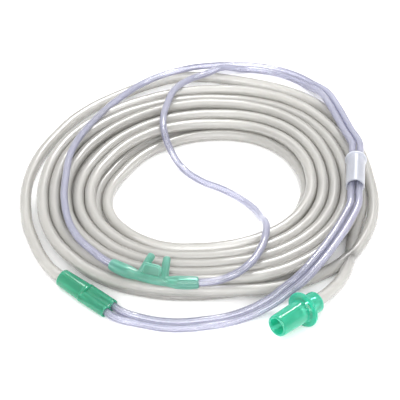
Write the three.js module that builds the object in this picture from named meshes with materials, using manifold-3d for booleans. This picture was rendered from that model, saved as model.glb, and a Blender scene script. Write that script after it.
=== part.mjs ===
// Nasal oxygen cannula with its long supply tube, lying coiled on a level surface.
//
// A soft nose piece with two prongs is fed from both sides by two thin tubes. They pass
// side by side through a chin slider and end in a Y connector, and one thicker supply tube
// runs from there, wound into a coil, to the inlet connector that goes on the oxygen outlet.
//
// Units are millimetres, +Z is up and the surface is z = 0. A place is given around the
// coil's axis, as degrees from +X and millimetres outside the coil's edge. The last lines
// move the origin below the middle of the four fittings.

import * as THREE from 'three';
import * as BufferGeometryUtils from 'three/addons/utils/BufferGeometryUtils.js';
import Module from 'manifold-3d';

// Gap between pieces that touch each other on the real object
const TOUCH_GAP = 0.3;

// Tubing
const SUPPLY_OD = 6.0;
const SUPPLY_SIDES = 12;
const SUPPLY_STEP = 15;
const THIN_OD = 3.8;
const THIN_SIDES = 8;
const THIN_STEP = 11.5;

// Coil of the supply tube, as one ring of its outer shape
const COIL_INNER_RADIUS = 49;
const COIL_OUTER_RADIUS = 84.5;
const COIL_HEIGHT = 12.5;
const COIL_TOP_INNER_RADIUS = 54;
const COIL_TOP_OUTER_RADIUS = 73;
const COIL_INNER_SHOULDER = 7;
const COIL_OUTER_SHOULDER = 6.5;
const COIL_FOOT_HEIGHT = 3;
const COIL_FOOT_INSET = 2.2;
const COIL_SEGMENTS = 48;

// Nose piece: a bent tube with a sleeve at each end
const NOSE_ARC_LENGTH = 45;
const NOSE_BEND_RADIUS = 60;
const NOSE_MIDDLE_RADIUS = 2.45;
const NOSE_CHANNEL_RADIUS = 1.3;
const NOSE_SLEEVE_RADIUS = 3.25;
const NOSE_END_RADIUS = 2.95;
const NOSE_LIP = 0.5;
const NOSE_SLEEVE_BULGE_AT = 5;
const NOSE_SOCKET_DEPTH = 10;
const NOSE_SLEEVE_TAPER = 4.5;
const NOSE_PLACE = [-63.75, -3.8];
const NOSE_LIFT = 1.6;
const NOSE_TURN = 27.8;

// Two prongs of the nose piece
const PRONG_SPACING = 11.5;
const PRONG_LENGTH = 12.5;
const PRONG_BASE_RADIUS = 2.15;
const PRONG_TIP_RADIUS = 1.85;
const PRONG_BORE_RADIUS = 1.15;
const PRONG_TIP_ROUND = 0.45;
const PRONG_BEND_RADIUS = 34;
const PRONG_RISE = 30;
const PRONG_LEAN = 4;

// Lip flap between the prongs, with a thicker rim
const FLAP_WIDTH = 10;
const FLAP_REACH = 7.4;
const FLAP_CORNER = 2.6;
const FLAP_WEB = 0.8;
const FLAP_RIM = 1.5;
const FLAP_RIM_WIDTH = 0.8;
const FLAP_RISE = 62;
const FLAP_SHIFT = -0.8;

// Chin slider
const SLIDER_LENGTH = 23;
const SLIDER_WALL = 0.65;
const SLIDER_RIM_LENGTH = 1.7;
const SLIDER_RIM_HEIGHT = 0.85;
const SLIDER_RIM_SLOPE = 0.5;
const SLIDER_LIP = 0.3;
const SLIDER_PLACE = [45.1, -6.7];
const SLIDER_LIFT = 1.05;
const SLIDER_TURN = -51.2;

// Y connector: one wide socket at x = 0 and two narrow sockets side by side
const Y_BIG_LENGTH = 16;
const Y_TWIN_LENGTH = 15.5;
const Y_BIG_END_RADIUS = 4.45;
const Y_SEAM_HALF_WIDTH = 5.35;
const Y_SEAM_HALF_HEIGHT = 3.7;
const Y_SOCKET_WALL = 0.75;
const Y_TWIN_SPACING = 5.2;
const Y_BIG_SOCKET_DEPTH = 12;
const Y_TWIN_SOCKET_DEPTH = 11;
const Y_PASSAGE_RADIUS = 1.2;
const Y_PASSAGE_SPACING = 3.4;
const Y_LIP = 0.35;
const Y_PLACE = [-91.6, 11.9];
const Y_LIFT = 0.05;
const Y_TURN = 5.2;
const Y_DIP = 2.8;

// Inlet connector: a barrel and a collar on either side of a round flange
const INLET_BARREL_LENGTH = 18;
const INLET_BARREL_BASE_RADIUS = 5.6;
const INLET_MOUTH_RADIUS = 5.35;
const INLET_BORE_RADIUS = 3.7;
const INLET_BORE_DEPTH = 17;
const INLET_MOUTH_ROUND = 0.6;
const INLET_FLANGE_RADIUS = 8.8;
const INLET_FLANGE_THICKNESS = 1.3;
const INLET_COLLAR_LENGTH = 8.6;
const INLET_COLLAR_RADIUS = 5.35;
const INLET_COLLAR_LIP = 0.5;
const INLET_PASSAGE_RADIUS = 2.0;
const INLET_PLACE = [-18.9, 18.7];
const INLET_TILT = 6;

// How far a tube stays straight in front of a socket
const STRAIGHT_RUN = 5;

// Heights of a tube's axis where it lies on the surface and on the flat of the coil
const THIN_ON_SURFACE = THIN_OD / 2 + TOUCH_GAP;
const THIN_ON_COIL = COIL_HEIGHT + TOUCH_GAP + THIN_OD / 2;
const SUPPLY_ON_SURFACE = SUPPLY_OD / 2 + TOUCH_GAP;
const THIN_OVER_SUPPLY = 8.8;

// Routes are lists of places, each with the height of the tube's axis

// Supply tube from the Y connector around the outside of the coil
const SUPPLY_LOOP_ROUTE = [
  [-101.1, 11.6, 3.3],
  [-112.0, 10.3, SUPPLY_ON_SURFACE],
  [-124.2, 9.9, SUPPLY_ON_SURFACE],
  [-146.7, 10.7, SUPPLY_ON_SURFACE],
  [-168.3, 12.3, SUPPLY_ON_SURFACE],
  [178.5, 14.7, SUPPLY_ON_SURFACE],
  [164.0, 16.8, SUPPLY_ON_SURFACE],
  [152.9, 20.2, SUPPLY_ON_SURFACE],
  [142.9, 23.2, SUPPLY_ON_SURFACE],
  [134.1, 22.1, SUPPLY_ON_SURFACE],
  [125.7, 20.2, SUPPLY_ON_SURFACE],
  [117.0, 19.5, SUPPLY_ON_SURFACE],
  [108.0, 19.3, SUPPLY_ON_SURFACE],
  [99.0, 18.1, SUPPLY_ON_SURFACE],
  [90.0, 15.3, SUPPLY_ON_SURFACE],
  [81.0, 11.8, SUPPLY_ON_SURFACE],
  [72.0, 8.3, SUPPLY_ON_SURFACE],
  [63.0, 5.5, SUPPLY_ON_SURFACE],
  [54.0, 3.8, SUPPLY_ON_SURFACE],
  [43.0, 3.5, SUPPLY_ON_SURFACE],
];

// Supply tube from the coil to the inlet connector
const SUPPLY_INLET_ROUTE = [
  [9.5, 3.5, SUPPLY_ON_SURFACE],
  [4.2, 6.3, 3.4],
  [-1.0, 9.6, 4.5],
  [-6.8, 12.9, 6.2],
];

// Left thin tube from the nose piece over the coil and the supply tube
const LEFT_ROUTE = [
  [-88.2, -5.2, 12.2],
  [-101.1, -6.2, 12.6],
  [-117.5, -9.4, 14.3],
  [-135.6, -11.7, THIN_ON_COIL],
  [-152.7, -9.7, 14.3],
  [-172.7, -5.4, 12.8],
  [167.8, 4.3, 11.0],
  [153.5, 16.2, THIN_OVER_SUPPLY],
  [143.3, 21.9, THIN_OVER_SUPPLY],
  [135.0, 29.4, 6.0],
];

// Right thin tube from the nose piece down into the coil's hole and out over its back
const RIGHT_ROUTE = [
  [-38.3, -7.8, 13.4],
  [-30.2, -11.8, 15.0],
  [-20.7, -20.8, 15.4],
  [-10.1, -32.3, 15.0],
  [-4.2, -38.8, 12.8],
  [2.5, -45.8, 8.4],
  [25.0, -59.9, THIN_ON_SURFACE],
  [65.6, -73.6, THIN_ON_SURFACE],
  [149.0, -71.9, THIN_ON_SURFACE],
  [165.1, -57.0, 3.0],
  [166.4, -46.5, 9.0],
  [164.6, -39.2, 13.4],
  [161.0, -31.5, 15.2],
  [154.0, -18.8, 15.3],
  [147.3, -3.7, 13.9],
  [140.3, 9.7, 10.4],
  [133.8, 17.4, 9.6],
  [130.0, 23.8, THIN_OVER_SUPPLY],
];

// Middle line of the two thin tubes from the coil's back through the slider to the Y
const PAIR_ROUTE = [
  [124.9, 34.6, 3.0],
  [118.0, 37.4, THIN_ON_SURFACE],
  [110.6, 36.7, THIN_ON_SURFACE],
  [102.5, 31.4, 3.2],
  [96.6, 25.2, 6.8],
  [90.5, 17.0, 10.0],
  [73.5, 3.3, 13.8],
];
const PAIR_ROUTE_TO_Y = [
  [18.4, -5.9, 15.4],
  [6.8, -4.7, 14.2],
  [-4.2, -1.6, 13.0],
  [-14.0, 2.6, 11.4],
  [-19.4, 4.3, 9.8],
  [-25.4, 5.4, 5.8],
  [-36.1, 7.4, THIN_ON_SURFACE],
  [-46.6, 10.6, THIN_ON_SURFACE],
  [-55.1, 13.0, THIN_ON_SURFACE],
  [-63.9, 13.7, THIN_ON_SURFACE],
];

// How far the slider moves to each side, and the tubes' spacing in it and outside it
const SLIDER_TRAVEL = 5;
const PAIR_SPACING = THIN_OD + TOUCH_GAP;
const PAIR_SPACING_ON_BENDS = PAIR_SPACING + TOUCH_GAP;
const SLIDER_BORE_RADIUS = (PAIR_SPACING + THIN_OD) / 2 + TOUCH_GAP;
const SLIDER_OUTER_RADIUS = SLIDER_BORE_RADIUS + SLIDER_WALL;

// Sockets are a clearance wider than the tube that goes in
const THIN_SOCKET_RADIUS = THIN_OD / 2 + TOUCH_GAP;
const SUPPLY_SOCKET_RADIUS = SUPPLY_OD / 2 + TOUCH_GAP;

// A cut runs this far past the face that it opens
const CUT_PAST = 1;

// Facets around turned shapes, and steps along those that follow a bend
const TURNED_SEGMENTS = 24;
const BORE_SEGMENTS = 16;
const FLAP_CORNER_SEGMENTS = 5;
const NOSE_STEPS = 6;
const NOSE_CHANNEL_STEPS = 8;
const NOSE_SOCKET_STEPS = 3;
const PRONG_STEPS = 4;
const Y_WIDE_STEPS = 4;

// Corners nearer than this are one corner
const SAME_PLACE = 1e-4;

const radians = THREE.MathUtils.degToRad;

const wasm = await Module();
wasm.setup();

// Solids from geometries and back

function toSolid(geometry) {
  const plain = geometry.clone();
  plain.deleteAttribute('normal');
  plain.deleteAttribute('uv');
  const merged = BufferGeometryUtils.mergeVertices(plain, SAME_PLACE);
  const corners = merged.index.array;
  const kept = [];
  for (let i = 0; i < corners.length; i += 3) {
    const [a, b, c] = [corners[i], corners[i + 1], corners[i + 2]];
    if (a !== b && b !== c && c !== a) kept.push(a, b, c);
  }
  return new wasm.Manifold(new wasm.Mesh({
    numProp: 3,
    vertProperties: new Float32Array(merged.attributes.position.array),
    triVerts: new Uint32Array(kept),
  }));
}

function toGeometry(solid) {
  const mesh = solid.getMesh();
  const geometry = new THREE.BufferGeometry();
  geometry.setAttribute('position', new THREE.BufferAttribute(mesh.vertProperties, 3));
  geometry.setIndex(new THREE.BufferAttribute(mesh.triVerts, 1));
  return geometry;
}

function joined(geometries) {
  return geometries.map(toSolid).reduce((whole, solid) => whole.add(solid));
}

function cut(solid, tools) {
  return tools.map(toSolid).reduce((left, tool) => left.subtract(tool), solid);
}

// A turned solid along +X from [x, radius] points, closed on the axis at both ends
function turned(points, segments = TURNED_SEGMENTS) {
  const first = points[0];
  const last = points[points.length - 1];
  const profile = [[first[0], 0], ...points, [last[0], 0]];
  const geometry = new THREE.LatheGeometry(profile.map(([x, r]) => new THREE.Vector2(r, x)), segments);
  return geometry.rotateZ(-Math.PI / 2);
}

function rod(from, to, radius, segments = BORE_SEGMENTS) {
  return turned([[from, radius], [to, radius]], segments);
}

// Bends a solid that runs along X around a centre at y = radius
function bend(geometry, radius) {
  const place = geometry.attributes.position;
  for (let i = 0; i < place.count; i += 1) {
    const angle = place.getX(i) / radius;
    const reach = radius - place.getY(i);
    place.setX(i, reach * Math.sin(angle));
    place.setY(i, radius - reach * Math.cos(angle));
  }
  return geometry;
}

// Points between two places, so that a long face can follow a bend
function along(from, to, count, radius) {
  const points = [];
  for (let i = 0; i <= count; i += 1) points.push([from + (to - from) * i / count, radius]);
  return points;
}

function roundSection(diameter, sides) {
  const corners = [];
  for (let i = 0; i < sides; i += 1) {
    const angle = 2 * Math.PI * i / sides;
    corners.push(new THREE.Vector2(Math.cos(angle), Math.sin(angle)).multiplyScalar(diameter / 2));
  }
  return new THREE.Shape(corners);
}

function tube(points, diameter, sides, step) {
  const path = new THREE.CatmullRomCurve3(points, false, 'centripetal');
  return new THREE.ExtrudeGeometry(roundSection(diameter, sides), {
    steps: Math.round(path.getLength() / step),
    bevelEnabled: false,
    extrudePath: path,
  });
}

function material(color, roughness) {
  return new THREE.MeshStandardMaterial({ color, roughness, metalness: 0 });
}

const MINT_VINYL = material(0x8cc0b0, 0.3);
const GREEN_VINYL = material(0x3a9f7f, 0.3);
const EMERALD_VINYL = material(0x36b592, 0.25);
const MILKY_VINYL = material(0xc9cedb, 0.35);
const SUPPLY_VINYL = material(0xbebdb8, 0.3);
const THIN_VINYL = material(0xc6c6d2, 0.2);

// Height of the coil's upper side at a distance from its axis
function coilTopAt(radius) {
  const { mapLinear } = THREE.MathUtils;
  if (radius < COIL_INNER_RADIUS || radius > COIL_OUTER_RADIUS) return 0;
  if (radius < COIL_TOP_INNER_RADIUS) {
    return mapLinear(radius, COIL_INNER_RADIUS, COIL_TOP_INNER_RADIUS, COIL_INNER_SHOULDER, COIL_HEIGHT);
  }
  if (radius > COIL_TOP_OUTER_RADIUS) {
    return mapLinear(radius, COIL_TOP_OUTER_RADIUS, COIL_OUTER_RADIUS, COIL_HEIGHT, COIL_OUTER_SHOULDER);
  }
  return COIL_HEIGHT;
}

function aroundCoil([degrees, outside], height) {
  const radius = COIL_OUTER_RADIUS + outside;
  const angle = radians(degrees);
  return new THREE.Vector3(radius * Math.cos(angle), radius * Math.sin(angle), height);
}

function onCoil(place, above) {
  return aroundCoil(place, coilTopAt(COIL_OUTER_RADIUS + place[1]) + above);
}

function part(name, geometry, finish) {
  const mesh = new THREE.Mesh(geometry, finish);
  mesh.name = name;
  return mesh;
}

// Nose piece, with its middle at the origin and the prongs towards +Y

function noseBody() {
  const half = NOSE_ARC_LENGTH / 2;
  const taperEnd = half - NOSE_SOCKET_DEPTH - NOSE_SLEEVE_TAPER;
  const rightHalf = [
    [half - NOSE_SOCKET_DEPTH, NOSE_SLEEVE_RADIUS],
    [half - NOSE_SLEEVE_BULGE_AT, NOSE_SLEEVE_RADIUS],
    [half - NOSE_LIP, NOSE_END_RADIUS],
    [half, NOSE_END_RADIUS - NOSE_LIP / 2],
  ];
  const leftHalf = rightHalf.map(([x, r]) => [-x, r]).reverse();
  return turned([...leftHalf, ...along(-taperEnd, taperEnd, NOSE_STEPS, NOSE_MIDDLE_RADIUS), ...rightHalf]);
}

function noseChannel() {
  const half = NOSE_ARC_LENGTH / 2;
  const socket = half - NOSE_SOCKET_DEPTH;
  return turned([
    ...along(-half - CUT_PAST, -socket, NOSE_SOCKET_STEPS, THIN_SOCKET_RADIUS),
    ...along(-socket, socket, NOSE_CHANNEL_STEPS, NOSE_CHANNEL_RADIUS),
    ...along(socket, half + CUT_PAST, NOSE_SOCKET_STEPS, THIN_SOCKET_RADIUS),
  ], BORE_SEGMENTS);
}

function prongOutside() {
  const straight = along(0, PRONG_LENGTH - PRONG_TIP_ROUND, PRONG_STEPS, 0);
  const tapered = straight.map(([x], i) => (
    [x, THREE.MathUtils.lerp(PRONG_BASE_RADIUS, PRONG_TIP_RADIUS, i / PRONG_STEPS)]));
  return turned([...tapered, [PRONG_LENGTH, PRONG_TIP_RADIUS - PRONG_TIP_ROUND]], BORE_SEGMENTS);
}

function prongBore() {
  return turned(along(0, PRONG_LENGTH + CUT_PAST, PRONG_STEPS, PRONG_BORE_RADIUS), BORE_SEGMENTS);
}

// Sets a prong shape, made along +X, on the bent body: it rises, then curves down again
function onNose(geometry, side) {
  const angle = side * (PRONG_SPACING / 2) / NOSE_BEND_RADIUS;
  bend(geometry, PRONG_BEND_RADIUS);
  geometry.rotateX(-Math.PI / 2);
  geometry.rotateY(-radians(PRONG_RISE));
  geometry.rotateZ(Math.PI / 2 + angle + side * radians(PRONG_LEAN));
  return geometry.translate(
    NOSE_BEND_RADIUS * Math.sin(angle),
    NOSE_BEND_RADIUS * (1 - Math.cos(angle)),
    0,
  );
}

// Flap outline in its own plane, x across and y away from the tube's axis
function flapOutline(inset) {
  const half = FLAP_WIDTH / 2 - inset;
  const top = FLAP_REACH - inset;
  const corner = FLAP_CORNER - inset;
  const bottom = (NOSE_MIDDLE_RADIUS + NOSE_CHANNEL_RADIUS) / 2;
  const outline = new THREE.Shape();
  outline.moveTo(-half, bottom);
  outline.lineTo(half, bottom);
  outline.lineTo(half, top - corner);
  outline.absarc(half - corner, top - corner, corner, 0, Math.PI / 2, false);
  outline.absarc(-half + corner, top - corner, corner, Math.PI / 2, Math.PI, false);
  outline.lineTo(-half, bottom);
  return outline;
}

function flapPlate(inset, thickness) {
  return new THREE.ExtrudeGeometry(flapOutline(inset), {
    depth: thickness,
    bevelEnabled: false,
    curveSegments: FLAP_CORNER_SEGMENTS,
  }).translate(FLAP_SHIFT, 0, -thickness / 2);
}

function flap() {
  const rim = toSolid(flapPlate(0, FLAP_RIM));
  const pocket = toSolid(flapPlate(FLAP_RIM_WIDTH, FLAP_RIM + CUT_PAST));
  const web = toSolid(flapPlate(FLAP_RIM_WIDTH / 2, FLAP_WEB));
  return toGeometry(rim.subtract(pocket).add(web)).rotateX(radians(FLAP_RISE));
}

function nosePiece() {
  const outside = [bend(noseBody(), NOSE_BEND_RADIUS)];
  const bores = [bend(noseChannel(), NOSE_BEND_RADIUS)];
  for (const side of [-1, 1]) {
    outside.push(onNose(prongOutside(), side));
    bores.push(onNose(prongBore(), side));
  }
  const whole = joined([...outside, flap()]);
  return part('nose_piece', toGeometry(cut(whole, bores)), MINT_VINYL);
}

// Chin slider: a short sleeve along X with a rim at its far end
function chinSlider() {
  const outer = SLIDER_OUTER_RADIUS;
  const rim = outer + SLIDER_RIM_HEIGHT;
  const half = SLIDER_LENGTH / 2;
  const outside = turned([
    [-half, rim - SLIDER_RIM_SLOPE],
    [-half + SLIDER_RIM_SLOPE, rim],
    [-half + SLIDER_RIM_LENGTH - SLIDER_RIM_SLOPE, rim],
    [-half + SLIDER_RIM_LENGTH, outer],
    [half - SLIDER_LIP, outer],
    [half, outer - SLIDER_LIP],
  ]);
  const bore = rod(-half - CUT_PAST, half + CUT_PAST, SLIDER_BORE_RADIUS, TURNED_SEGMENTS);
  return part('chin_slider', toGeometry(cut(toSolid(outside), [bore])), MILKY_VINYL);
}

// Y connector: x = 0 is the wide end
const Y_LENGTH = Y_BIG_LENGTH + Y_TWIN_LENGTH;
const Y_TWIN_RADIUS = THIN_SOCKET_RADIUS + Y_SOCKET_WALL;

// The wide half changes from a round end to a flatter oval at the seam
function yWideHalf() {
  const geometry = turned([
    [0, 1 - Y_LIP / Y_BIG_END_RADIUS],
    [Y_LIP, 1],
    ...along(Y_BIG_LENGTH / Y_WIDE_STEPS, Y_BIG_LENGTH, Y_WIDE_STEPS - 1, 1),
    [Y_BIG_LENGTH + Y_LIP, 1 - Y_LIP / Y_SEAM_HALF_HEIGHT],
  ]);
  const place = geometry.attributes.position;
  for (let i = 0; i < place.count; i += 1) {
    const share = Math.min(place.getX(i) / Y_BIG_LENGTH, 1);
    const width = THREE.MathUtils.lerp(Y_BIG_END_RADIUS, Y_SEAM_HALF_WIDTH, share);
    const height = THREE.MathUtils.lerp(Y_BIG_END_RADIUS, Y_SEAM_HALF_HEIGHT, share);
    place.setY(i, place.getY(i) * width);
    place.setZ(i, place.getZ(i) * height);
  }
  return geometry;
}

function yConnector() {
  const seam = Y_BIG_LENGTH - Y_LIP;
  const outside = [yWideHalf()];
  const bores = [rod(-CUT_PAST, Y_BIG_SOCKET_DEPTH, SUPPLY_SOCKET_RADIUS)];
  for (const side of [-1, 1]) {
    const across = side * Y_TWIN_SPACING / 2;
    outside.push(turned([
      [seam, Y_TWIN_RADIUS],
      [Y_LENGTH - Y_LIP, Y_TWIN_RADIUS],
      [Y_LENGTH, Y_TWIN_RADIUS - Y_LIP],
    ]).translate(0, across, 0));
    bores.push(
      rod(Y_LENGTH - Y_TWIN_SOCKET_DEPTH, Y_LENGTH + CUT_PAST, THIN_SOCKET_RADIUS).translate(0, across, 0),
      rod(Y_BIG_SOCKET_DEPTH - CUT_PAST, Y_LENGTH - Y_TWIN_SOCKET_DEPTH + CUT_PAST, Y_PASSAGE_RADIUS)
        .translate(0, side * Y_PASSAGE_SPACING / 2, 0),
    );
  }
  const bridgeHeight = 2 * (Y_TWIN_RADIUS - Y_SOCKET_WALL / 2);
  outside.push(new THREE.BoxGeometry(Y_LENGTH - Y_LIP - seam, Y_TWIN_SPACING, bridgeHeight)
    .translate((Y_LENGTH - Y_LIP + seam) / 2, 0, 0));
  const mesh = part('y_connector', toGeometry(cut(joined(outside), bores)), GREEN_VINYL);
  mesh.position.copy(aroundCoil(Y_PLACE, Y_BIG_END_RADIUS + Y_LIFT));
  mesh.rotation.set(0, radians(Y_DIP), radians(Y_TURN), 'ZYX');
  return mesh;
}

// Inlet connector: x = 0 is the middle of the flange, the mouth is towards +X
const INLET_FACE = INLET_FLANGE_THICKNESS / 2;
const INLET_MOUTH_AT = INLET_FACE + INLET_BARREL_LENGTH;
const INLET_BACK_AT = -INLET_FACE - INLET_COLLAR_LENGTH;

function inletConnector() {
  const outside = turned([
    [INLET_BACK_AT, INLET_COLLAR_RADIUS - INLET_COLLAR_LIP],
    [INLET_BACK_AT + INLET_COLLAR_LIP, INLET_COLLAR_RADIUS],
    [-INLET_FACE, INLET_COLLAR_RADIUS],
    [-INLET_FACE, INLET_FLANGE_RADIUS],
    [INLET_FACE, INLET_FLANGE_RADIUS],
    [INLET_FACE, INLET_BARREL_BASE_RADIUS],
    [INLET_MOUTH_AT - INLET_MOUTH_ROUND, INLET_MOUTH_RADIUS],
    [INLET_MOUTH_AT, INLET_MOUTH_RADIUS - INLET_MOUTH_ROUND],
  ]);
  const boreEnd = INLET_MOUTH_AT - INLET_BORE_DEPTH;
  const bores = [
    rod(boreEnd, INLET_MOUTH_AT + CUT_PAST, INLET_BORE_RADIUS, TURNED_SEGMENTS),
    rod(INLET_BACK_AT - CUT_PAST, -INLET_FACE, SUPPLY_SOCKET_RADIUS),
    rod(-INLET_FACE - CUT_PAST, boreEnd + CUT_PAST, INLET_PASSAGE_RADIUS),
  ];
  const mesh = part('inlet_connector', toGeometry(cut(toSolid(outside), bores)), EMERALD_VINYL);
  const tilt = radians(INLET_TILT);
  const height = INLET_FLANGE_RADIUS * Math.cos(tilt) + INLET_FACE * Math.sin(tilt);
  mesh.position.copy(aroundCoil(INLET_PLACE, height));
  mesh.rotation.set(0, -tilt, -Math.PI / 2, 'ZYX');
  return mesh;
}

// Coil ring around the origin
function supplyCoil() {
  const inner = COIL_INNER_RADIUS;
  const outer = COIL_OUTER_RADIUS;
  const profile = [
    [inner + COIL_FOOT_INSET, 0],
    [outer - COIL_FOOT_INSET, 0],
    [outer, COIL_FOOT_HEIGHT],
    [outer, COIL_OUTER_SHOULDER],
    [COIL_TOP_OUTER_RADIUS, COIL_HEIGHT],
    [COIL_TOP_INNER_RADIUS, COIL_HEIGHT],
    [inner, COIL_INNER_SHOULDER],
    [inner, COIL_FOOT_HEIGHT],
    [inner + COIL_FOOT_INSET, 0],
  ];
  const ring = new THREE.LatheGeometry(profile.map(([r, z]) => new THREE.Vector2(r, z)), COIL_SEGMENTS);
  return part('supply_coil', ring.rotateX(Math.PI / 2), SUPPLY_VINYL);
}

// Places on a mesh, given in its own frame

function placeOn(mesh, x, y = 0, z = 0) {
  mesh.updateMatrix();
  return new THREE.Vector3(x, y, z).applyMatrix4(mesh.matrix);
}

// Three places on one line: inside a socket, at its mouth and a straight run in front of it
function outOfSocket(mesh, bottom, mouth, ahead) {
  return [placeOn(mesh, ...bottom), placeOn(mesh, ...mouth), placeOn(mesh, ...ahead)];
}

function outOfNose(mesh, side) {
  const half = NOSE_ARC_LENGTH / 2;
  const end = half / NOSE_BEND_RADIUS;
  const inside = (half - NOSE_SOCKET_DEPTH + TOUCH_GAP) / NOSE_BEND_RADIUS;
  const onBend = (angle) => [
    side * NOSE_BEND_RADIUS * Math.sin(angle),
    NOSE_BEND_RADIUS * (1 - Math.cos(angle)),
  ];
  const [x, y] = onBend(end);
  const ahead = [x + side * STRAIGHT_RUN * Math.cos(end), y + STRAIGHT_RUN * Math.sin(end)];
  return [onBend(inside), [x, y], ahead].map((place) => placeOn(mesh, ...place));
}

function supplyRoute(route) {
  return route.map((place) => aroundCoil(place, place[2]));
}

// A thin tube's axis is never lower than where the tube rests on the coil
function thinRoute(route) {
  return route.map((place) => {
    const resting = coilTopAt(COIL_OUTER_RADIUS + place[1]) + THIN_ON_SURFACE;
    return aroundCoil(place, Math.max(place[2], resting));
  });
}

// The pair is straight where the slider moves
function pairMiddle(slider) {
  const reach = SLIDER_LENGTH / 2 + SLIDER_TRAVEL + STRAIGHT_RUN;
  const end = reach + STRAIGHT_RUN / 2;
  const straight = [-end, -reach, 0, reach, end].map((x) => placeOn(slider, x));
  return [...thinRoute(PAIR_ROUTE), ...straight, ...thinRoute(PAIR_ROUTE_TO_Y)];
}

// Both tubes of the pair run beside its middle line, one on each side
function besidePair(middle, side) {
  const line = new THREE.CatmullRomCurve3(middle, false, 'centripetal');
  const first = PAIR_ROUTE.length;
  const last = middle.length - 1 - PAIR_ROUTE_TO_Y.length;
  const straightAhead = middle[last].clone().sub(middle[first]);
  return middle.map((place, i) => {
    const straight = i >= first && i <= last;
    const ahead = straight ? straightAhead : line.getTangent(i / (middle.length - 1));
    const spacing = straight ? PAIR_SPACING : PAIR_SPACING_ON_BENDS;
    const across = new THREE.Vector3(-ahead.y, ahead.x, 0).normalize();
    return place.clone().addScaledVector(across, side * spacing / 2);
  });
}

function thinTube(name, ends, route, middle, side) {
  const points = [...ends.nose, ...thinRoute(route), ...besidePair(middle, side), ...ends.y];
  return part(name, tube(points, THIN_OD, THIN_SIDES, THIN_STEP), THIN_VINYL);
}

function outOfYTwin(mesh, side) {
  const across = side * Y_TWIN_SPACING / 2;
  return outOfSocket(
    mesh,
    [Y_LENGTH - Y_TWIN_SOCKET_DEPTH + TOUCH_GAP, across],
    [Y_LENGTH, across],
    [Y_LENGTH + STRAIGHT_RUN, across],
  ).reverse();
}

const nose = nosePiece();
nose.position.copy(onCoil(NOSE_PLACE, NOSE_SLEEVE_RADIUS + NOSE_LIFT));
nose.rotation.z = radians(NOSE_TURN);

const slider = chinSlider();
slider.position.copy(onCoil(SLIDER_PLACE, SLIDER_OUTER_RADIUS + SLIDER_RIM_HEIGHT + SLIDER_LIFT));
slider.rotation.z = radians(SLIDER_TURN);

const yPiece = yConnector();
const inlet = inletConnector();
const middle = pairMiddle(slider);

const supplyLoop = part('supply_tube_y_end', tube([
  ...outOfSocket(yPiece, [Y_BIG_SOCKET_DEPTH - TOUCH_GAP], [0], [-STRAIGHT_RUN]),
  ...supplyRoute(SUPPLY_LOOP_ROUTE),
], SUPPLY_OD, SUPPLY_SIDES, SUPPLY_STEP), SUPPLY_VINYL);

const supplyInlet = part('supply_tube_inlet_end', tube([
  ...supplyRoute(SUPPLY_INLET_ROUTE),
  ...outOfSocket(
    inlet,
    [-INLET_FACE - TOUCH_GAP],
    [INLET_BACK_AT],
    [INLET_BACK_AT - STRAIGHT_RUN],
  ).reverse(),
], SUPPLY_OD, SUPPLY_SIDES, SUPPLY_STEP), SUPPLY_VINYL);

const leftTube = thinTube(
  'left_cannula_tube',
  { nose: outOfNose(nose, -1), y: outOfYTwin(yPiece, -1) },
  LEFT_ROUTE,
  middle,
  1,
);

const rightTube = thinTube(
  'right_cannula_tube',
  { nose: outOfNose(nose, 1), y: outOfYTwin(yPiece, 1) },
  RIGHT_ROUTE,
  middle,
  -1,
);

const cannula = new THREE.Group();
cannula.add(nose, slider, yPiece, inlet, supplyCoil(), supplyLoop, supplyInlet, leftTube, rightTube);

// The origin is on the surface, below the middle of the four fittings
const fittings = new THREE.Box3();
for (const piece of [nose, slider, yPiece, inlet]) fittings.expandByObject(piece, true);
const centre = fittings.getCenter(new THREE.Vector3());
cannula.position.set(-centre.x, -centre.y, 0);

export default cannula;
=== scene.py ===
# %% [markdown]
# # A nasal oxygen cannula, lying coiled
#
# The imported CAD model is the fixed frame: it says where every fitting lies and how
# large it is. This lesson dresses it. The tubes become real curves, the soft fittings
# get smooth walls with open bores, and each plastic gets its own material.

import math

import bmesh
import bpy
import numpy as np
from mathutils import Matrix, Vector


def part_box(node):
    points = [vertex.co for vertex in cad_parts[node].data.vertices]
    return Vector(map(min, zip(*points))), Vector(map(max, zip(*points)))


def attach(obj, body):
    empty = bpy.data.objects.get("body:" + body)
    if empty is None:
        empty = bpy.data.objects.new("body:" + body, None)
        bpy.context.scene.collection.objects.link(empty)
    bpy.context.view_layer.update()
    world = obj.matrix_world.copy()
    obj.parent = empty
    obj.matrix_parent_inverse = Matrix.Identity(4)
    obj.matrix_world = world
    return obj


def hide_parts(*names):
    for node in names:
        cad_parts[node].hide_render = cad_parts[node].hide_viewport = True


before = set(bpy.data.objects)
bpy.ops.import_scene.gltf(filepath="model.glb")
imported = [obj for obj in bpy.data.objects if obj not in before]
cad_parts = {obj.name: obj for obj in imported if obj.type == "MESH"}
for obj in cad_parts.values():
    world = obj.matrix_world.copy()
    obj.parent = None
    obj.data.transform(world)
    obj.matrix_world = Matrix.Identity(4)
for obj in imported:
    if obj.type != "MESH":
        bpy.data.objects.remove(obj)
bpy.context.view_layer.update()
MM = 0.001
print("nodes:", sorted(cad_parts))

# %% [markdown]
# ## Camera
#
# The picture looks down at 40 degrees with a long lens, so near and far turns of the
# coil look almost equally large. The camera aims at a point just beside the coil's axis.
# The lens follows from the picture: a focal length of 1330 pixels on a width of 400.

# %% Camera
coil_low, coil_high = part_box("supply_coil")
COIL_AXIS = (coil_low + coil_high) / 2
COIL_EDGE = (coil_high.x - coil_low.x) / 2 / MM
VIEW_TURN = math.radians(45)
VIEW_RISE = math.radians(40)
VIEW_DISTANCE = 0.700
AIM_SHIFT = (-0.00071, -0.00354)
SENSOR_WIDTH = 36
FOCAL_PIXELS = 1330
PICTURE_PIXELS = 400


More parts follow.
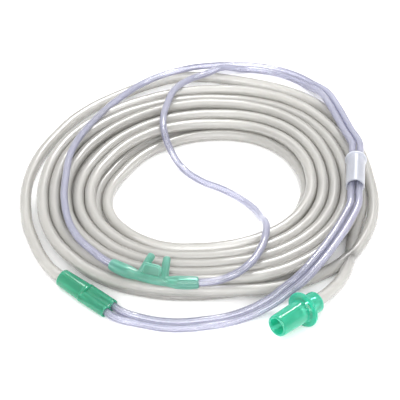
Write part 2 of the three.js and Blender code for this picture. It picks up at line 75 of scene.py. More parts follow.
def aim(thing, target):
    thing.rotation_euler = (Vector(target) - thing.location).to_track_quat("-Z", "Y").to_euler()


camera = bpy.data.objects.new("camera", bpy.data.cameras.new("camera"))
bpy.context.scene.collection.objects.link(camera)
target = Vector((COIL_AXIS.x + AIM_SHIFT[0], COIL_AXIS.y + AIM_SHIFT[1], 0))
back = Vector((
    math.sin(VIEW_TURN) * math.cos(VIEW_RISE),
    -math.cos(VIEW_TURN) * math.cos(VIEW_RISE),
    math.sin(VIEW_RISE),
))
camera.location = target + back * VIEW_DISTANCE
aim(camera, target)
camera.data.sensor_width = SENSOR_WIDTH
camera.data.lens = SENSOR_WIDTH * FOCAL_PIXELS / PICTURE_PIXELS
camera.data.clip_start = 0.01
bpy.context.scene.camera = camera
print("camera at", [round(c, 3) for c in camera.location], "lens", round(camera.data.lens, 1))

# %% [markdown]
# ## Places on the floor
#
# As in the CAD source, a place is given around the coil's axis: degrees from +X,
# millimetres outside the coil's edge, and a height.

# %% Places around the coil


def place(degrees, outside, height):
    radius = COIL_EDGE + outside
    angle = math.radians(degrees)
    return np.array([
        COIL_AXIS.x + radius * math.cos(angle) * MM,
        COIL_AXIS.y + radius * math.sin(angle) * MM,
        height * MM,
    ])


def route(rows):
    return [place(*row) for row in rows]


# %% [markdown]
# ## The coil of supply tube
#
# One tube of 6 mm lies in eleven turns. A hand-wound coil is never a neat stack:
# the tube winds inwards on top of itself, drops, and winds outwards again on the floor.
#
# The two edges below are knots of (degrees around the axis, radius in mm). Each point
# of the tube starts at a wished place between them. Then the turns are let go: they
# sink, push each other apart where they are closer than a tube's width, and stay smooth.

# %% Width of the coil, all around
SUPPLY_OD = 6.0
POINTS_A_TURN = 96
START_DEGREES = 54.0
END_DEGREES = 12.0
TURNS_IN = 5
TURNS_OUT = 6
INNER_EDGE = [
    (176, 40.1), (155, 40.4), (136, 42.5), (120, 45.9), (105, 49.4), (88, 51.6), (63, 51.7),
    (45, 50.2), (30, 46.8), (15, 44.2), (-5, 42.4), (-25, 42.8), (-48, 46.6), (-68, 48.6),
    (-95, 49.6), (-118, 50.2), (-139, 46.6), (-157, 42.7), (-170, 41.0),
]
OUTER_EDGE = [
    (180, 89.8), (158, 91.0), (138, 93.6), (120, 95.6), (104, 96.2), (90, 93.6), (75, 88.6),
    (60, 84.6), (45, 83.4), (30, 84.0), (8, 84.0), (-12, 84.4), (-38, 81.9), (-55, 82.3),
    (-66, 85.0), (-78, 88.2), (-103, 89.6), (-133, 87.8), (-157, 89.3),
]


def around(knots, degrees):
    """A value that eases from knot to knot, all the way round."""
    knots = sorted((d % 360, v) for d, v in knots)
    knots = [(knots[-1][0] - 360, knots[-1][1])] + knots + [(knots[0][0] + 360, knots[0][1])]
    at = np.array([k[0] for k in knots])
    value = np.array([k[1] for k in knots])
    degrees = np.mod(degrees, 360)
    i = np.clip(np.searchsorted(at, degrees, side="right") - 1, 0, len(at) - 2)
    t = (degrees - at[i]) / (at[i + 1] - at[i])
    t = t * t * (3 - 2 * t)
    return value[i] * (1 - t) + value[i + 1] * t


def between(at, knots):
    return np.interp(at, [k[0] for k in knots], [k[1] for k in knots])


all_turns = TURNS_IN + TURNS_OUT + (START_DEGREES - END_DEGREES) / 360
turn = np.arange(0, all_turns + 1e-9, 1 / POINTS_A_TURN)
swept = 360 * turn
degrees = START_DEGREES - swept
inner = around(INNER_EDGE, degrees) + SUPPLY_OD / 2
outer = around(OUTER_EDGE, degrees) - SUPPLY_OD / 2
print("points in the coil:", len(turn))

# %% Wished places of the turns
# The share of the way from the inner to the outer edge, turn by turn, with a slow sway
last = turn[-1]
share = between(turn, [
    (0, 1), (0.12, 1), (0.5, 0.93), (1, 0.88), (TURNS_IN + 0.4, 0.1), (TURNS_IN + 0.6, 0.02),
    (last - 0.35, 0.97), (last, 1),
])
sway = 0.04 * np.sin(2 * np.pi * (0.73 * turn + 0.15))
sway += 0.025 * np.sin(2 * np.pi * (1.9 * turn + 0.4))
sway *= np.clip(turn - 0.3, 0, 1) * np.clip(last - turn, 0, 1)
wished = inner + (outer - inner) * np.clip(share + sway, 0, 1)

# The first stretch stays outside the others and climbs over the last one
FIRST_BOW = [
    (0, 88.1), (11, 87.8), (21, 87.0), (33, 86.8), (41, 86.4), (54, 84.4), (70, 81.2), (95, 78.6),
]
wished = np.where(swept <= FIRST_BOW[-1][0], between(swept, FIRST_BOW), wished)
# The last stretch swings outwards to the inlet connector
left_over = swept - swept[-1]
wished += between(left_over, [(-40, 0), (-25, 0.4), (-12, 2.4), (0, 5.2)])
LAYER = 9.2
LOWEST = SUPPLY_OD / 2
climbing = between(swept, [(0, LOWEST), (10, LOWEST), (18, 4.4), (32, 8.4), (40, LAYER)])
winding = between(turn, [(0, LAYER), (TURNS_IN + 0.15, LAYER), (TURNS_IN + 0.45, LOWEST)])
height = np.where(turn > 0.12, winding, climbing)
# Both end stretches may leave the room between the edges
free = (swept < 90) | (left_over > -30)

# %% Let the turns settle
LOOSENESS = 0.08
EDGE_SLACK = 0.3
BUSY_STEPS = 481
CALM_STEPS = 119


def smoothed(values, amount):
    eased = values.copy()
    eased[2:-2] += amount * (values[1:-3] + values[3:-1] - 2 * values[2:-2])
    return eased


def push_apart(radius, height):
    """Moves turns that are closer than a tube's width away from each other."""
    move_r = np.zeros_like(radius)
    move_z = np.zeros_like(radius)
    for turns_between in range(1, TURNS_IN + TURNS_OUT + 1):
        for shift in (-3, 0, 3):
            step = turns_between * POINTS_A_TURN + shift
            count = len(radius) - step
            if count <= 0:
                continue
            one, two = slice(0, count), slice(step, None)
            d_along = 2 * math.pi * shift / POINTS_A_TURN * radius[one]
            d_r = radius[two] - radius[one]
            d_z = height[two] - height[one]
            distance = np.sqrt(d_r ** 2 + d_z ** 2 + d_along ** 2) + 1e-9
            too_close = np.clip(SUPPLY_OD + LOOSENESS - distance, 0, None)
            push = too_close / distance * (0.5 if shift == 0 else 0.25)
            move_r[one] -= d_r * push
            move_z[one] -= d_z * push
            move_r[two] += d_r * push
            move_z[two] += d_z * push
    return radius + 0.5 * move_r, height + 0.5 * move_z


def settle(radius, height, steps, pull, fall, smoothing):
    """Pulls the turns to their wished places, lets them fall, and keeps them apart."""
    for _ in range(steps):
        radius = radius + pull * (wished - radius)
        height = height - fall
        for _ in range(2):
            radius, height = push_apart(radius, height)
            held = np.clip(radius, inner - EDGE_SLACK, outer + EDGE_SLACK)
            radius = np.where(free, radius, held)
            height = np.maximum(height, LOWEST)
        for _ in range(2):
            radius = wished + smoothed(radius - wished, smoothing)
            height = np.maximum(smoothed(height, smoothing), LOWEST)
    return radius, height


radius, height = settle(wished, height, BUSY_STEPS, pull=0.03, fall=0.04, smoothing=0.25)
radius, height = settle(radius, height, CALM_STEPS, pull=0.004, fall=0.006, smoothing=0.08)
coil_points = [place(d, r - COIL_EDGE, z) for d, r, z in zip(degrees, radius, height)]
print("coil: top at", round(height.max() + SUPPLY_OD / 2, 1), "mm")

# %% [markdown]
# ## Materials
#
# Every piece is soft PVC, extruded or moulded. Three things make it look like itself:
# it lets light through, it is glossy, and it looks fullest along its edges, because
# there the eye looks through more plastic. So each material mixes a clear part with a
# cloudy one, and the cloudy part grows towards the edges. Light spreads a few
# millimetres inside the cloudy part, which keeps its shadows soft.

# %% Helpers for colours and nodes


def linear(hex_colour):
    """A linear RGBA colour from an sRGB hex value."""
    channels = [int(hex_colour[i:i + 2], 16) / 255 for i in (1, 3, 5)]
    light = [c / 12.92 if c <= 0.04045 else ((c + 0.055) / 1.055) ** 2.4 for c in channels]
    return (*light, 1.0)


def add_node(tree, kind, links=None, **settings):
    """Adds a node; settings are its properties or input values, links feed its inputs."""
    node = tree.nodes.new(kind)
    for name, value in settings.items():
        if hasattr(node, name):
            setattr(node, name, value)
        else:
            node.inputs[name.replace("_", " ")].default_value = value
    for name, source in (links or {}).items():
        tree.links.new(source, node.inputs[name])
    return node


def new_material(name):
    material = bpy.data.materials.new(name)
    material.use_nodes = True
    material.node_tree.nodes.clear()
    return material, material.node_tree


def per_mm(size):
    """Scale of a pattern whose features are this many millimetres large."""
    return 1 / (size * MM)


# %% Plasticised PVC
PVC_IOR = 1.53
LIGHT_SPREAD = 6.0
WAVE_DEPTH = 0.04
SHADE_RANGE = 0.06


def soft_pvc(name, body, tint, least, most, rough, ripple=6.0):
    """body colours the cloudy part, tint the light that comes through the clear part.

    least and most are the cloudy part's share in the middle and along the edges, and
    ripple is the size in mm of the shallow waves that break up the highlights.
    """
    material, tree = new_material(name)
    where = add_node(tree, "ShaderNodeTexCoord")
    cloud = add_node(
        tree, "ShaderNodeTexNoise", {"Vector": where.outputs["Object"]},
        Scale=per_mm(2.2 * ripple), Detail=2.0, Roughness=0.5,
    )
    shades = add_node(tree, "ShaderNodeMix", {"Factor": cloud.outputs["Fac"]}, data_type="RGBA")
    full = linear(body)[:3]
    shades.inputs[6].default_value = [c * (1 - SHADE_RANGE) for c in full] + [1]
    shades.inputs[7].default_value = [min(c * (1 + SHADE_RANGE), 1) for c in full] + [1]
    waves = add_node(
        tree, "ShaderNodeTexNoise", {"Vector": where.outputs["Object"]},
        Scale=per_mm(ripple), Detail=1.0,
    )
    bump = add_node(
        tree, "ShaderNodeBump", {"Height": waves.outputs["Fac"]},
        Strength=0.5, Distance=WAVE_DEPTH * MM,
    )
    plastic = add_node(
        tree, "ShaderNodeBsdfPrincipled",
        {"Base Color": shades.outputs[2], "Normal": bump.outputs["Normal"]},
        Roughness=rough, IOR=PVC_IOR,
    )
    plastic.inputs["Subsurface Weight"].default_value = 0.9
    plastic.inputs["Subsurface Radius"].default_value = (1.0, 1.0, 1.0)
    plastic.inputs["Subsurface Scale"].default_value = LIGHT_SPREAD * MM
    clear = add_node(tree, "ShaderNodeBsdfTransparent", Color=linear(tint))
    shine = add_node(
        tree, "ShaderNodeBsdfGlossy", {"Normal": bump.outputs["Normal"]},
        Color=(1, 1, 1, 1), Roughness=rough,
    )
    fresnel = add_node(tree, "ShaderNodeFresnel", {"Normal": bump.outputs["Normal"]}, IOR=PVC_IOR)
    skin = add_node(
        tree, "ShaderNodeMixShader",
        {"Fac": fresnel.outputs["Fac"], 1: clear.outputs["BSDF"], 2: shine.outputs["BSDF"]},
    )
    edge = add_node(tree, "ShaderNodeLayerWeight", Blend=0.5)
    share = add_node(tree, "ShaderNodeMapRange", {"Value": edge.outputs["Facing"]})
    share.inputs["To Min"].default_value = least
    share.inputs["To Max"].default_value = most
    mix = add_node(
        tree, "ShaderNodeMixShader",
        {"Fac": share.outputs["Result"], 1: skin.outputs["Shader"], 2: plastic.outputs["BSDF"]},
    )
    add_node(tree, "ShaderNodeOutputMaterial", {"Surface": mix.outputs["Shader"]})
    print("material", name)
    return material


# Faint grey, cloudy enough to hide what lies two turns below
supply_pvc = soft_pvc(
    "clear extruded PVC, supply tube", "#cac8c3", "#fdfdfc",
    least=0.22, most=0.55, rough=0.17, ripple=9.0,
)
# The lumen's wall, which draws the thin lighter lines inside each tube
supply_lumen_pvc = soft_pvc(
    "lumen wall, supply tube", "#dddcd9", "#fdfdfd", least=0.3, most=0.8, rough=0.3,
)
# Thinner and clearer, with a bluish cast
thin_pvc = soft_pvc(
    "clear extruded PVC, thin tube", "#b9bace", "#f9f9fd", least=0.1, most=0.5, rough=0.1,
)
thin_lumen_pvc = soft_pvc(
    "lumen wall, thin tube", "#cdcedd", "#fbfbff", least=0.12, most=0.65, rough=0.2,
)
# The softest plastic: pale mint, a little matt, so that the prongs look gentle
mint_pvc = soft_pvc(
    "moulded PVC, mint", "#6cb5a1", "#ccefe5",
    least=0.22, most=0.8, rough=0.2, ripple=5.0,
)
# A deep green in the melt, whose thick walls look the darkest
green_pvc = soft_pvc(
    "moulded PVC, green", "#2c9f7b", "#a9e8d4",
    least=0.35, most=0.85, rough=0.12, ripple=5.0,
)
# Brighter and glossier, so that the barrel shows its round mouth
emerald_pvc = soft_pvc(
    "moulded PVC, emerald", "#2ab797", "#baf6e8",
    least=0.25, most=0.9, rough=0.08, ripple=7.0,
)
# Milky, with broad dull highlights
milky_pvc = soft_pvc(
    "moulded PVC, milky", "#c9cddb", "#f2f4fa",
    least=0.5, most=0.8, rough=0.28, ripple=4.0,
)

# %% [markdown]
# ## Tubes
#
# A tube is one open spline with a round bevel. Bezier points with automatic handles
# pass through every place of the route. Inside each tube runs a second one, the wall
# of its bore: it draws the thin lines that make a clear tube look hollow.
#
# The fittings come first, because every tube starts and ends in a socket.

# %% Tube from a list of places


def tube(name, points, diameter, material, sides=16):
    curve = bpy.data.curves.new(name, "CURVE")
    curve.dimensions = "3D"
    curve.resolution_u = 5
    curve.bevel_depth = diameter / 2 * MM
    curve.bevel_resolution = sides // 4
    curve.use_fill_caps = True
    curve.twist_mode = "MINIMUM"
    spline = curve.splines.new("BEZIER")
    spline.bezier_points.add(len(points) - 1)
    for knot, point in zip(spline.bezier_points, points):
        knot.co = Vector(point)
        knot.handle_left_type = knot.handle_right_type = "AUTO"
    curve.materials.append(material)
    thing = bpy.data.objects.new(name, curve)
    bpy.context.scene.collection.objects.link(thing)
    bpy.context.view_layer.update()
    length = sum(s.calc_length() for s in curve.splines)
    print(name, "is", round(length, 3), "m")
    return thing, length


# %% Where the fittings lie
NOSE_AT = place(-63.75, -3.8, 13.33)
NOSE_TURN = math.radians(27.8)
NOSE_ARC = 45.0
NOSE_BEND = 60.0
NOSE_SOCKET = 10.0
SLIDER_AT = place(45.1, -6.7, 16.8)
SLIDER_TURN = math.radians(-51.2)
Y_AT = place(-91.6, 11.9, 4.5)
Y_TURN = math.radians(5.2)
Y_DIP = math.radians(2.8)
Y_LENGTH = 31.5
SUPPLY_DEPTH = 11.7
THIN_DEPTH = 10.7
TWIN_SPACING = 5.2
INLET_AT = place(-18.9, 18.7, 8.82)
INLET_TILT = math.radians(6)
COLLAR_END = -9.25
STRAIGHT = 5.0


def frame_of(at, *turns):
    matrix = Matrix.Translation(Vector(at))
    for angle, axis in turns:
        matrix = matrix @ Matrix.Rotation(angle, 4, axis)
    return matrix


def on(matrix, x, y=0.0, z=0.0):
    return np.array(matrix @ Vector((x * MM, y * MM, z * MM)))


nose_frame = frame_of(NOSE_AT, (NOSE_TURN, "Z"))
slider_frame = frame_of(SLIDER_AT, (SLIDER_TURN, "Z"))
y_frame = frame_of(Y_AT, (Y_TURN, "Z"), (Y_DIP, "Y"))
inlet_frame = frame_of(INLET_AT, (-math.pi / 2, "Z"), (-INLET_TILT, "Y"))

# %% Supply tube
SUPPLY_BORE = 4.0
LUMEN_SIDES = 12
supply_route = [on(y_frame, x) for x in (SUPPLY_DEPTH, 0, -STRAIGHT)] + route([
    (-101.1, 11.6, 3.1),
    (-112.0, 10.3, 3.0),
    (-124.2, 9.9, 3.0),
    (-146.7, 10.7, 3.0),
    (-168.3, 12.3, 3.0),
    (178.5, 14.7, 3.0),
    (164.0, 16.8, 3.0),
    (152.9, 20.2, 3.0),
    (142.9, 23.2, 3.0),
    (134.1, 22.1, 3.0),
    (125.7, 20.2, 3.0),
    (117.0, 19.5, 3.0),
    (108.0, 19.3, 3.0),
    (99.0, 18.1, 3.0),
    (90.0, 15.3, 3.0),
    (81.0, 11.8, 3.0),
    (72.0, 8.3, 3.0),
    (63.0, 5.5, 3.0),
]) + coil_points[::4] + route([
    (4.2, 6.3, 3.1),
    (-1.0, 9.6, 4.3),
    (-6.8, 12.9, 6.1),
]) + [on(inlet_frame, x) for x in (COLLAR_END - STRAIGHT, COLLAR_END, -0.95)]
supply, supply_length = tube("supply_tube", supply_route, SUPPLY_OD, supply_pvc)
supply_lumen, _ = tube("supply_lumen", supply_route, SUPPLY_BORE, supply_lumen_pvc, LUMEN_SIDES)

# %% Thin tubes
THIN_OD = 3.8
THIN_BORE = 2.2
PAIR_SPACING = 4.1
LOW = 1.9
LEFT_ROUTE = route([
    (-88.2, -5.2, 13.2),
    (-101.1, -6.2, 13.4),
    (-117.5, -9.4, 14.3),
    (-135.6, -11.7, 14.7),
    (-152.7, -9.7, 14.3),
    (-172.7, -5.4, 12.8),
    (167.8, 4.3, 11.0),
    (153.5, 16.2, 8.8),
    (143.3, 21.9, 8.8),
    (135.0, 29.4, 6.0),
])
RIGHT_ROUTE = route([
    (-38.3, -7.8, 13.4),
    (-30.2, -11.8, 15.0),
    (-20.7, -20.8, 15.4),
    (-10.1, -32.3, 15.0),
    (-4.2, -38.8, 12.8),
    (2.5, -45.8, 8.4),
    (25.0, -59.9, LOW),
    (65.6, -73.6, LOW),
    (149.0, -71.9, LOW),
    (165.1, -57.0, 3.0),
    (166.4, -46.5, 9.0),
    (164.6, -39.2, 13.4),
    (161.0, -31.5, 15.2),
    (154.0, -18.8, 15.3),
    (147.3, -3.7, 13.9),
    (140.3, 9.7, 10.4),
    (133.8, 17.4, 9.6),
    (130.0, 23.8, 8.8),
])
PAIR_ROUTE = route([
    (124.9, 34.6, 3.0),
    (118.0, 37.4, LOW),
    (110.6, 36.7, LOW),
    (102.5, 31.4, 3.2),
    (96.6, 25.2, 6.8),
    (90.5, 17.0, 10.0),
    (73.5, 3.3, 13.8),
])
PAIR_ROUTE_TO_Y = route([
    (18.4, -5.9, 15.4),
    (6.8, -4.7, 14.2),
    (-4.2, -1.6, 13.0),
    (-14.0, 2.6, 11.4),
    (-19.4, 4.3, 9.8),
    (-25.4, 5.4, 5.8),
    (-36.1, 7.4, LOW),
    (-46.6, 10.6, LOW),
    (-55.1, 13.0, LOW),
    (-63.9, 13.7, LOW),
])
straight = [on(slider_frame, x) for x in (-24, -21.5, 0, 21.5, 24)]
middle = PAIR_ROUTE + straight + PAIR_ROUTE_TO_Y


def beside(points, side):
    """The same way, half the pair's spacing to the left (1) or right (-1) of it."""
    shifted = []
    for i, point in enumerate(points):
        ahead = points[min(i + 1, len(points) - 1)] - points[max(i - 1, 0)]
        across = np.array([-ahead[1], ahead[0], 0])
        shifted.append(point + side * PAIR_SPACING / 2 * MM * across / np.linalg.norm(across))
    return shifted


def out_of_nose(side):
    """From inside a sleeve of the bent nose piece, straight out past its end."""
    end = NOSE_ARC / 2 / NOSE_BEND
    inside = (NOSE_ARC / 2 - NOSE_SOCKET + 0.3) / NOSE_BEND
    places = [(side * NOSE_BEND * math.sin(a), NOSE_BEND * (1 - math.cos(a))) for a in (inside, end)]
    x, y = places[1]
    places.append((x + side * STRAIGHT * math.cos(end), y + STRAIGHT * math.sin(end)))
    return [on(nose_frame, *p) for p in places]


def into_y(side):
    stops = (Y_LENGTH + STRAIGHT, Y_LENGTH, Y_LENGTH - THIN_DEPTH)
    return [on(y_frame, x, side * TWIN_SPACING / 2) for x in stops]


left_points = out_of_nose(-1) + LEFT_ROUTE + beside(middle, 1) + into_y(-1)
right_points = out_of_nose(1) + RIGHT_ROUTE + beside(middle, -1) + into_y(1)
left, left_length = tube("left_tube", left_points, THIN_OD, thin_pvc)
right, right_length = tube("right_tube", right_points, THIN_OD, thin_pvc)
left_lumen, _ = tube("left_lumen", left_points, THIN_BORE, thin_lumen_pvc, LUMEN_SIDES)
right_lumen, _ = tube("right_lumen", right_points, THIN_BORE, thin_lumen_pvc, LUMEN_SIDES)

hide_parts("supply_coil", "supply_tube_y_end", "supply_tube_inlet_end")
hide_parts("left_cannula_tube")
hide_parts("right_cannula_tube")
for thing, slot in (
    (supply, "supply_vinyl"), (supply_lumen, "supply_vinyl"), (left, "thin_vinyl"),
    (left_lumen, "thin_vinyl"), (right, "thin_vinyl"), (right_lumen, "thin_vinyl"),
):
    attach(thing, "cannula")

# %% [markdown]
# ## Fittings
#
# The four fittings keep the CAD's measures, but are built anew with smooth walls. Turned
# shapes come from a profile whose corners are eased. The nose piece and the Y connector
# join several shapes: they are cut, then redrawn in small cells and softened, so that
# every inner corner gets the fillet that a mould gives it.

# %% Shapes turned around an axis


def eased(corners, steps=4):
    """Rounds each (x, radius, easing) corner of a closed profile by its easing."""
    points = []
    for i, (x, r, easing) in enumerate(corners):
        corner = np.array([x, r], float)
        before = np.array(corners[i - 1][:2], float) - corner
        after = np.array(corners[(i + 1) % len(corners)][:2], float) - corner
        if easing == 0:
            points.append(corner)
            continue
        start = corner + before / np.linalg.norm(before) * easing
        end = corner + after / np.linalg.norm(after) * easing
        for k in range(steps + 1):
            t = k / steps
            points.append((1 - t) ** 2 * start + 2 * t * (1 - t) * corner + t * t * end)
    return points


def along(start, end, count, radius):
    """A straight wall in many steps, so that it can be bent afterwards."""
    return [(start + (end - start) * i / count, radius, 0) for i in range(count + 1)]


def turned(name, profile, sides=64):
    """A closed profile of (x, radius) points, turned around the X axis."""
    rows = [[i] for i in range(len(profile))]
    points = []
    for row, (x, r) in zip(rows, profile):
        count = sides if r > 1e-6 else 1
        row[:] = range(len(points), len(points) + count)
        for k in range(count):
            angle = 2 * math.pi * k / sides
            points.append((x * MM, r * math.cos(angle) * MM, r * math.sin(angle) * MM))
    faces = []
    for one, two in zip(rows, rows[1:] + rows[:1]):
        if len(one) == 1 and len(two) == 1:
            continue
        for k in range(sides):
            near = [one[k % len(one)], one[(k + 1) % len(one)]]
            far = [two[(k + 1) % len(two)], two[k % len(two)]]
            faces.append(list(dict.fromkeys(near + far)))
    return solid(name, points, faces)


def solid(name, points, faces):
    """A mesh whose faces all look outwards."""
    mesh = bpy.data.meshes.new(name)
    mesh.from_pydata([tuple(p) for p in points], [], faces)
    tidy = bmesh.new()
    tidy.from_mesh(mesh)
    bmesh.ops.recalc_face_normals(tidy, faces=tidy.faces)
    tidy.to_mesh(mesh)
    tidy.free()
    thing = bpy.data.objects.new(name, mesh)
    bpy.context.scene.collection.objects.link(thing)
    return thing


def bend(thing, radius):
    """Bends a shape that runs along X around a centre at y = radius."""
    for vertex in thing.data.vertices:
        angle = vertex.co.x / (radius * MM)
        reach = radius * MM - vertex.co.y
        vertex.co.x = reach * math.sin(angle)
        vertex.co.y = radius * MM - reach * math.cos(angle)
    return thing


def moved(thing, matrix):
    thing.data.transform(matrix)
    return thing


def moulded(adds, cuts, cell, softening):
    """Joins closed shapes, cuts the bores, and softens every corner a little."""
    whole = adds[0]
    for operation, others in (("UNION", adds[1:]), ("DIFFERENCE", cuts)):
        for other in others:
            step = whole.modifiers.new(operation, "BOOLEAN")
            step.operation = operation
            step.object = other
            step.solver = "EXACT"
    cells = whole.modifiers.new("cells", "REMESH")
    cells.mode = "VOXEL"
    cells.voxel_size = cell * MM
    soften = whole.modifiers.new("soften", "SMOOTH")
    soften.factor = 0.5
    soften.iterations = softening
    mesh = bpy.data.meshes.new_from_object(whole.evaluated_get(bpy.context.evaluated_depsgraph_get()))
    whole.modifiers.clear()
    whole.data = mesh
    for other in adds[1:] + cuts:
        bpy.data.objects.remove(other)
    return whole


def fitted(thing, matrix, node, body, material):
    """Puts a finished fitting in its place, where it stands for its CAD node."""
    moved(thing, matrix)
    for face in thing.data.polygons:
        face.use_smooth = True
    thing.data.materials.clear()
    thing.data.materials.append(material)
    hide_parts(node)
    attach(thing, body)
    print(thing.name, "has", len(thing.data.polygons), "faces")
    return thing


# %% Nose piece
THIN_SOCKET = 2.2
SLEEVE_RADIUS = 3.25
SLEEVE_TIP = 2.75
NOSE_RADIUS = 2.45
CHANNEL_RADIUS = 1.3
half = NOSE_ARC / 2
socket = half - NOSE_SOCKET
sleeve = [
    (socket, SLEEVE_RADIUS, 1.2), (half - 5, SLEEVE_RADIUS, 1.2),
    (half - 0.9, 3.0, 0.3), (half, SLEEVE_TIP, 0.15),
]
taper = socket - 4.5
nose_profile = (
    [(-half, 0, 0)] + [(-x, r, e) for x, r, e in reversed(sleeve)]
    + along(-taper, taper, 16, NOSE_RADIUS) + sleeve + [(half, 0, 0)])
nose = bend(turned("nose", eased(nose_profile, 3), 48), NOSE_BEND)
past = half + 1
channel_profile = (
    [(-past, 0, 0)] + along(-past, -socket, 6, THIN_SOCKET)
    + along(-socket + 0.01, socket - 0.01, 16, CHANNEL_RADIUS)
    + along(socket, past, 6, THIN_SOCKET) + [(past, 0, 0)])
channel = bend(turned("channel", eased(channel_profile), 32), NOSE_BEND)

PRONG = 12.5
PRONG_SPACING = 11.5
PRONG_BORE = 1.15
PRONG_BEND = 34
PRONG_SPLAY = math.radians(4)
PRONG_RISE = math.radians(30)
prongs = []
prong_bores = []
for side in (-1, 1):
    angle = side * PRONG_SPACING / 2 / NOSE_BEND
    # The root flares into the tube's wall and the tip is rounded over
    outside = [(0, 0, 0)] + [
        (PRONG * t, 2.15 - 0.3 * t + 0.5 * (1 - t) ** 6, 0) for t in np.linspace(0, 0.96, 12)
    ] + [(PRONG * 0.99, 1.72, 0), (PRONG, 1.45, 0), (PRONG, 0, 0)]
    bore = [(0, 0, 0)] + along(0, PRONG + 1, 10, PRONG_BORE) + [(PRONG + 1, 0, 0)]
    to_nose = (
        Matrix.Translation(Vector((
            NOSE_BEND * MM * math.sin(angle), NOSE_BEND * MM * (1 - math.cos(angle)), 0)))
        @ Matrix.Rotation(math.pi / 2 + angle + side * PRONG_SPLAY, 4, "Z")
        @ Matrix.Rotation(-PRONG_RISE, 4, "Y")
        @ Matrix.Rotation(-math.pi / 2, 4, "X")
    )
    prongs.append(moved(bend(turned("prong", eased(outside), 32), PRONG_BEND), to_nose))
    prong_bores.append(moved(bend(turned("prong bore", eased(bore), 24), PRONG_BEND), to_nose))

FLAP_WIDTH = 10
FLAP_REACH = 7.4
FLAP_CORNER = 2.6
FLAP_ROOT = 1.9
FLAP_SHIFT = -0.8
FLAP_RISE = math.radians(62)
RIM_WIDTH = 0.9
RIM_THICKNESS = 1.5
POCKET_SHIFT = 1.15


def flap_plate(inset):
    """The flap's outline with round upper corners, drawn in by inset, as a plate."""
    side = FLAP_WIDTH / 2 - inset
    top = FLAP_REACH - inset
    corner = FLAP_CORNER - inset
    outline = [(-side, FLAP_ROOT), (side, FLAP_ROOT)]
    for start, sign in ((0, 1), (math.pi / 2, -1)):
        for k in range(9):
            angle = start + k / 8 * math.pi / 2
            outline.append((
                sign * (side - corner) + corner * math.cos(angle),
                top - corner + corner * math.sin(angle),
            ))
    count = len(outline)
    points = [
        ((x + FLAP_SHIFT) * MM, y * MM, z * RIM_THICKNESS / 2 * MM)
        for z in (-1, 1) for x, y in outline
    ]
    faces = [list(range(count)), list(range(count, 2 * count))]
    faces += [[k, (k + 1) % count, (k + 1) % count + count, k + count] for k in range(count)]
    return solid("flap plate", points, faces)


# The web inside the rim is left thin by a pocket on either face
rise = Matrix.Rotation(FLAP_RISE, 4, "X")
rim = moved(flap_plate(0), rise)
pockets = []
for side in (-1, 1):
    aside = Matrix.Translation(Vector((0, 0, side * POCKET_SHIFT * MM)))
    pockets.append(moved(flap_plate(RIM_WIDTH), rise @ aside))
nose = moulded([nose, rim] + prongs, pockets + [channel] + prong_bores, 0.2, 4)
nose.name = "nose"
fitted(nose, nose_frame, "nose_piece", "cannula", mint_pvc)

# %% Y connector
# The wide half starts round and grows into an oval, so it is turned with a radius of 1
# and stretched afterwards
Y_BIG = 16.0
Y_ROUND = 4.45
Y_OVAL_WIDE = 5.35
Y_OVAL_HIGH = 3.7
SUPPLY_SOCKET = 3.3
TWIN_RADIUS = 2.95
PASSAGE_RADIUS = 1.2
PASSAGE_SHIFT = 1.7
wide_profile = (
    [(0, 0, 0), (0, 1, 0.06), (0.6, 1.0, 0.1)] + along(2, Y_BIG, 8, 1)
    + [(Y_BIG + 0.35, 0.9, 0), (Y_BIG + 0.35, 0, 0)])
wide = turned("wide half", eased(wide_profile), 64)
ridge = turned("ridge", eased([
    (Y_BIG - 1.1, 0, 0), (Y_BIG - 1.1, 0.98, 0), (Y_BIG - 0.8, 1.07, 0), (Y_BIG + 0.1, 1.07, 0),
    (Y_BIG + 0.45, 0.98, 0), (Y_BIG + 0.45, 0, 0)]), 64)
for thing in (wide, ridge):
    for vertex in thing.data.vertices:
        share_of_oval = min(max(vertex.co.x / (Y_BIG * MM), 0), 1)
        vertex.co.y *= Y_ROUND + (Y_OVAL_WIDE - Y_ROUND) * share_of_oval
        vertex.co.z *= Y_ROUND + (Y_OVAL_HIGH - Y_ROUND) * share_of_oval

# Both narrow sockets have one skin, with a shallow waist between them
WAIST_HALF_HEIGHT = 2.4
WAIST = math.asin(WAIST_HALF_HEIGHT / TWIN_RADIUS)
ARC_STEPS = 24


def twin_ring(x, inset):
    """The outline of both sockets in one closed ring, inset from their full size."""
    ring = []
    for side, start in ((1, WAIST - math.pi), (-1, WAIST)):
        for k in range(ARC_STEPS + 1):
            angle = start + k / ARC_STEPS * 2 * (math.pi - WAIST)
            ring.append((
                x * MM,
                (side * TWIN_SPACING / 2 + (TWIN_RADIUS - inset) * math.cos(angle)) * MM,
                (TWIN_RADIUS - inset) * math.sin(angle) * MM,
            ))
    return ring


rings = [twin_ring(x, inset) for x, inset in (
    (Y_BIG - 1, 0), (Y_LENGTH - 0.5, 0), (Y_LENGTH - 0.15, 0.12), (Y_LENGTH, 0.4))]
count = len(rings[0])
skin = [list(range(count)), list(range(3 * count, 4 * count))]
for row in range(3):
    for k in range(count):
        one, two = row * count + k, row * count + (k + 1) % count
        skin.append([one, two, two + count, one + count])
twin_half = solid("twin half", [point for ring in rings for point in ring], skin)
adds = [wide, ridge, twin_half]


def bore_cut(name, start, end, radius, sides, aside=0.0):
    """A round bore from start to end, as far to the side as aside says."""
    profile = [(start, 0), (start, radius), (end, radius), (end, 0)]
    return moved(turned(name, profile, sides), Matrix.Translation(Vector((0, aside * MM, 0))))


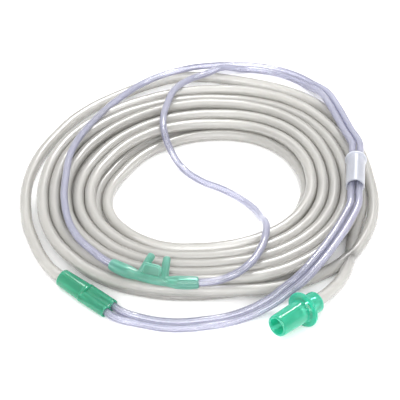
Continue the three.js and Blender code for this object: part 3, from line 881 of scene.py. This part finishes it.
cuts = [bore_cut("socket", -1, 12, SUPPLY_SOCKET, 48)]
for side in (-1, 1):
    cuts.append(bore_cut(
        "twin socket", Y_LENGTH - 11, Y_LENGTH + 1, THIN_SOCKET, 32, side * TWIN_SPACING / 2))
    cuts.append(bore_cut("passage", 11, Y_LENGTH - 10, PASSAGE_RADIUS, 24, side * PASSAGE_SHIFT))
connector = moulded(adds, cuts, 0.17, 3)
connector.name = "y_piece"
fitted(connector, y_frame, "y_connector", "cannula", green_pvc)

# %% Inlet connector
# One turned profile: along the collar, over the flange and the barrel, and back inside
FLANGE_RADIUS = 8.8
FLANGE_HALF = 0.65
BARREL_LENGTH = 18.0
COLLAR_LENGTH = 8.6
face = FLANGE_HALF
mouth = face + BARREL_LENGTH
back_end = -face - COLLAR_LENGTH
floor_of_bore = mouth - 17
inlet_profile = [
    (back_end, SUPPLY_SOCKET, 0.2), (back_end, 5.1, 0.35), (back_end + 0.9, 5.35, 0.4),
    (-face - 0.9, 5.3, 0.2), (-face, 5.9, 0.25), (-face, FLANGE_RADIUS, 0.45),
    (face, FLANGE_RADIUS, 0.45), (face, 6.3, 0.25), (face + 0.9, 5.65, 0.3),
    (mouth - 1.2, 5.4, 0.4), (mouth, 5.1, 0.5), (mouth, 4.1, 0.3), (mouth - 1.0, 3.75, 0.4),
    (floor_of_bore, 3.6, 0.4), (floor_of_bore, 2.0, 0.2), (-face, 2.0, 0.2),
    (-face, SUPPLY_SOCKET, 0.1),
]
inlet = turned("inlet", eased(inlet_profile), 96)
fitted(inlet, inlet_frame, "inlet_connector", "cannula", emerald_pvc)

# %% Chin slider
# A thin sleeve with room for both tubes and a rounded rim at one end
SLIDER_HALF = 11.5
SLIDER_BORE = (PAIR_SPACING + THIN_OD) / 2 + 0.3
outer_wall = SLIDER_BORE + 0.65
slider_profile = [
    (-SLIDER_HALF, SLIDER_BORE, 0.15), (-SLIDER_HALF, outer_wall + 0.6, 0.35),
    (-SLIDER_HALF + 0.85, outer_wall + 0.9, 0.4), (-SLIDER_HALF + 1.7, outer_wall + 0.5, 0.35),
    (-SLIDER_HALF + 2.1, outer_wall, 0.3), (SLIDER_HALF - 0.4, outer_wall, 0.2),
    (SLIDER_HALF, outer_wall - 0.3, 0.1), (SLIDER_HALF, SLIDER_BORE, 0.12),
]
slider = turned("slider", eased(slider_profile), 96)
fitted(slider, slider_frame, "chin_slider", "slider", milky_pvc)

# %% [markdown]
# ## Floor and light
#
# A seamless white floor under soft light from all sides. A small softbox behind the
# coil draws the long highlights on the tubes, and a broad fill near the camera keeps
# the gaps between the turns light.

# %% Floor
FLOOR_REACH = 3.0
floor_mesh = bpy.data.meshes.new("floor")
floor_corners = [(x * FLOOR_REACH, y * FLOOR_REACH, 0) for x, y in ((-1, -1), (1, -1), (1, 1), (-1, 1))]
floor_mesh.from_pydata(floor_corners, [], [(0, 1, 2, 3)])
floor = bpy.data.objects.new("floor", floor_mesh)
bpy.context.scene.collection.objects.link(floor)
white, tree = new_material("matt white paper")
paper = add_node(tree, "ShaderNodeBsdfPrincipled", Roughness=0.9)
paper.inputs["Base Color"].default_value = linear("#fbfbfb")
add_node(tree, "ShaderNodeOutputMaterial", {"Surface": paper.outputs["BSDF"]})
floor_mesh.materials.append(white)

# %% Lights
world = bpy.data.worlds.new("studio")
world.use_nodes = True
bpy.context.scene.world = world
sky = world.node_tree.nodes["Background"]
sky.inputs["Color"].default_value = (1, 1, 1, 1)
sky.inputs["Strength"].default_value = 1.05


def lamp(name, at, size, watts):
    light = bpy.data.lights.new(name, "AREA")
    light.shape = "RECTANGLE"
    light.size, light.size_y = size
    light.energy = watts
    thing = bpy.data.objects.new(name, light)
    thing.location = Vector(at)
    bpy.context.scene.collection.objects.link(thing)
    aim(thing, COIL_AXIS)
    print("lamp", name, "of", watts, "W")


lamp("softbox", (-0.45, 0.65, 0.95), (0.3, 0.3), 9)
lamp("broad fill", (0.50, -0.50, 0.62), (1.0, 1.0), 9)
bpy.context.scene.view_settings.view_transform = "Standard"

# %% Finish
bpy.context.view_layer.update()
